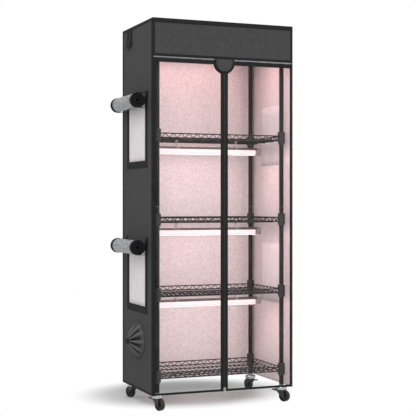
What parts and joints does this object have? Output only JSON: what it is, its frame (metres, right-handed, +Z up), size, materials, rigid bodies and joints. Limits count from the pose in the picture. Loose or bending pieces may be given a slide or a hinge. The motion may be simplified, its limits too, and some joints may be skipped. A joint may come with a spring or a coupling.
{
  "type": "indoor greenhouse",
  "caption": "Wire-shelf rack on braked casters with light bars, inside a black fabric cover with a zipped clear front, rolled-up window flaps and a gathered duct port.",
  "frame": {"origin": "on the floor, under the middle of the rack's plan", "axes": "+Z up, front with the zipped doors faces -Y, duct port and rolled flaps on the -X wall"},
  "size_m": [0.7064, 0.4084, 1.6008],
  "materials": {
    "cover_fabric": "woven, matte black",
    "binding_tape": "woven tape, black",
    "silver_lining": "metallised cloth",
    "window_mesh": "fine net",
    "clear_film": "clear film",
    "top_zip_coil": "silver coil",
    "zip_metal": "polished",
    "black_paint": "powder coat",
    "black_plastic": "moulded",
    "grey_plastic": "moulded",
    "zinc_steel": "zinc plated",
    "light_housing": "anodised",
    "light_diffuser": "opal",
    "wheel_rubber": "smooth tread"
  },
  "bodies": {
    "rack_and_cover": {"post_front_left": "black_paint", "post_front_right": "black_paint", "post_rear_left": "black_paint", "post_rear_right": "black_paint", "post_inserts": "zinc_steel", "post_caps": "black_plastic", "wire_shelf_1": "black_paint", "wire_shelf_2": "black_paint", "wire_shelf_3": "black_paint", "wire_shelf_4": "black_paint", "wire_shelf_5": "black_paint", "shelf_sleeves": "black_plastic", "light_1_housing": "light_housing", "light_1_diffuser": "light_diffuser", "light_2_housing": "light_housing", "light_2_diffuser": "light_diffuser", "light_3_housing": "light_housing", "light_3_diffuser": "light_diffuser", "light_4_housing": "light_housing", "light_4_diffuser": "light_diffuser", "light_end_caps": "grey_plastic", "light_clips": "zinc_steel", "led_boards": "light_housing", "caster_stems": "zinc_steel", "cover_roof": "cover_fabric", "cover_left": "cover_fabric", "cover_right": "cover_fabric", "cover_back": "cover_fabric", "cover_valance": "cover_fabric", "cover_bindings": "binding_tape", "left_window_meshes": "window_mesh", "right_window_meshes": "window_mesh", "window_borders": "binding_tape", "left_flap_roll_upper": "silver_lining", "left_flap_roll_lower": "silver_lining", "flap_ties": "binding_tape", "duct_sleeve": "cover_fabric", "top_zip": "top_zip_coil"},
    "door_left": {"door_left_frame": "binding_tape", "door_left_film": "clear_film"},
    "door_right": {"door_right_frame": "binding_tape", "door_right_film": "clear_film"},
    "zip_slider": {"zip_slider": "zip_metal"},
    "zip_pull": {"zip_pull": "zip_metal"},
    "door_tab": {"door_tab": "cover_fabric"},
    "cable_flap": {"cable_flap": "cover_fabric"},
    "right_flap_upper": {"right_flap_upper": "cover_fabric"},
    "right_flap_lower": {"right_flap_lower": "cover_fabric"},
    "caster_front_left_fork": {"caster_front_left_fork": "zinc_steel"},
    "caster_front_left_wheel": {"caster_front_left_wheel": "wheel_rubber"},
    "caster_front_left_brake": {"caster_front_left_brake": "black_plastic"},
    "caster_front_right_fork": {"caster_front_right_fork": "zinc_steel"},
    "caster_front_right_wheel": {"caster_front_right_wheel": "wheel_rubber"},
    "caster_front_right_brake": {"caster_front_right_brake": "black_plastic"},
    "caster_rear_left_fork": {"caster_rear_left_fork": "zinc_steel"},
    "caster_rear_left_wheel": {"caster_rear_left_wheel": "wheel_rubber"},
    "caster_rear_left_brake": {"caster_rear_left_brake": "black_plastic"},
    "caster_rear_right_fork": {"caster_rear_right_fork": "zinc_steel"},
    "caster_rear_right_wheel": {"caster_rear_right_wheel": "wheel_rubber"},
    "caster_rear_right_brake": {"caster_rear_right_brake": "black_plastic"}
  },
  "joints": [
    {"name": "door_left_swing", "type": "hinge", "parent": "rack_and_cover", "child": "door_left", "pos_m": [-0.3099, -0.1996, 0.752], "axis": [0, 0, -1], "range_deg": [0, 100]},
    {"name": "door_right_swing", "type": "hinge", "parent": "rack_and_cover", "child": "door_right", "pos_m": [0.3099, -0.1996, 0.752], "axis": [0, 0, 1], "range_deg": [0, 100]},
    {"name": "zip_slide", "type": "slide", "parent": "door_left", "child": "zip_slider", "axis": [0, 0, 1], "range_m": [0, 1.3]},
    {"name": "zip_pull_swing", "type": "hinge", "parent": "zip_slider", "child": "zip_pull", "pos_m": [0, -0.2054, 0.075], "axis": [-1, 0, 0], "range_deg": [0, 150]},
    {"name": "door_tab_lift", "type": "hinge", "parent": "rack_and_cover", "child": "door_tab", "pos_m": [0, -0.2023, 1.4458], "axis": [-1, 0, 0], "range_deg": [0, 150]},
    {"name": "cable_flap_lift", "type": "hinge", "parent": "rack_and_cover", "child": "cable_flap", "pos_m": [-0.3165, 0.098, 1.5905], "axis": [0, 1, 0], "range_deg": [0, 110]},
    {"name": "right_flap_upper_lift", "type": "hinge", "parent": "rack_and_cover", "child": "right_flap_upper", "pos_m": [0.3173, 0.002, 1.298], "axis": [0, -1, 0], "range_deg": [0, 120]},
    {"name": "right_flap_lower_lift", "type": "hinge", "parent": "rack_and_cover", "child": "right_flap_lower", "pos_m": [0.3173, 0.002, 0.694], "axis": [0, -1, 0], "range_deg": [0, 120]},
    {"name": "front_left_swivel", "type": "hinge", "parent": "rack_and_cover", "child": "caster_front_left_fork", "pos_m": [-0.2815, -0.161, 0.06], "axis": [0, 0, 1], "continuous": true},
    {"name": "front_left_roll", "type": "hinge", "parent": "caster_front_left_fork", "child": "caster_front_left_wheel", "pos_m": [-0.27603, -0.17603, 0.024], "axis": [0.9397, 0.342, 0], "continuous": true},
    {"name": "front_left_brake_tip", "type": "hinge", "parent": "caster_front_left_fork", "child": "caster_front_left_brake", "pos_m": [-0.28458, -0.15254, 0.044], "axis": [-0.9397, -0.342, 0], "range_deg": [0, 16]},
    {"name": "front_right_swivel", "type": "hinge", "parent": "rack_and_cover", "child": "caster_front_right_fork", "pos_m": [0.2815, -0.161, 0.06], "axis": [0, 0, 1], "continuous": true},
    {"name": "front_right_roll", "type": "hinge", "parent": "caster_front_right_fork", "child": "caster_front_right_wheel", "pos_m": [0.2895, -0.17486, 0.024], "axis": [0.866, 0.5, 0], "continuous": true},
    {"name": "front_right_brake_tip", "type": "hinge", "parent": "caster_front_right_fork", "child": "caster_front_right_brake", "pos_m": [0.277, -0.15321, 0.044], "axis": [-0.866, -0.5, 0], "range_deg": [0, 16]},
    {"name": "rear_left_swivel", "type": "hinge", "parent": "rack_and_cover", "child": "caster_rear_left_fork", "pos_m": [-0.2815, 0.161, 0.06], "axis": [0, 0, 1], "continuous": true},
    {"name": "rear_left_roll", "type": "hinge", "parent": "caster_rear_left_fork", "child": "caster_rear_left_wheel", "pos_m": [-0.28697, 0.17603, 0.024], "axis": [-0.9397, -0.342, 0], "continuous": true},
    {"name": "rear_left_brake_tip", "type": "hinge", "parent": "caster_rear_left_fork", "child": "caster_rear_left_brake", "pos_m": [-0.27842, 0.15254, 0.044], "axis": [0.9397, 0.342, 0], "range_deg": [0, 16]},
    {"name": "rear_right_swivel", "type": "hinge", "parent": "rack_and_cover", "child": "caster_rear_right_fork", "pos_m": [0.2815, 0.161, 0.06], "axis": [0, 0, 1], "continuous": true},
    {"name": "rear_right_roll", "type": "hinge", "parent": "caster_rear_right_fork", "child": "caster_rear_right_wheel", "pos_m": [0.27872, 0.17676, 0.024], "axis": [-0.9848, -0.1736, 0], "continuous": true},
    {"name": "rear_right_brake_tip", "type": "hinge", "parent": "caster_rear_right_fork", "child": "caster_rear_right_brake", "pos_m": [0.28306, 0.15214, 0.044], "axis": [0.9848, 0.1736, 0], "range_deg": [0, 16]}
  ]
}
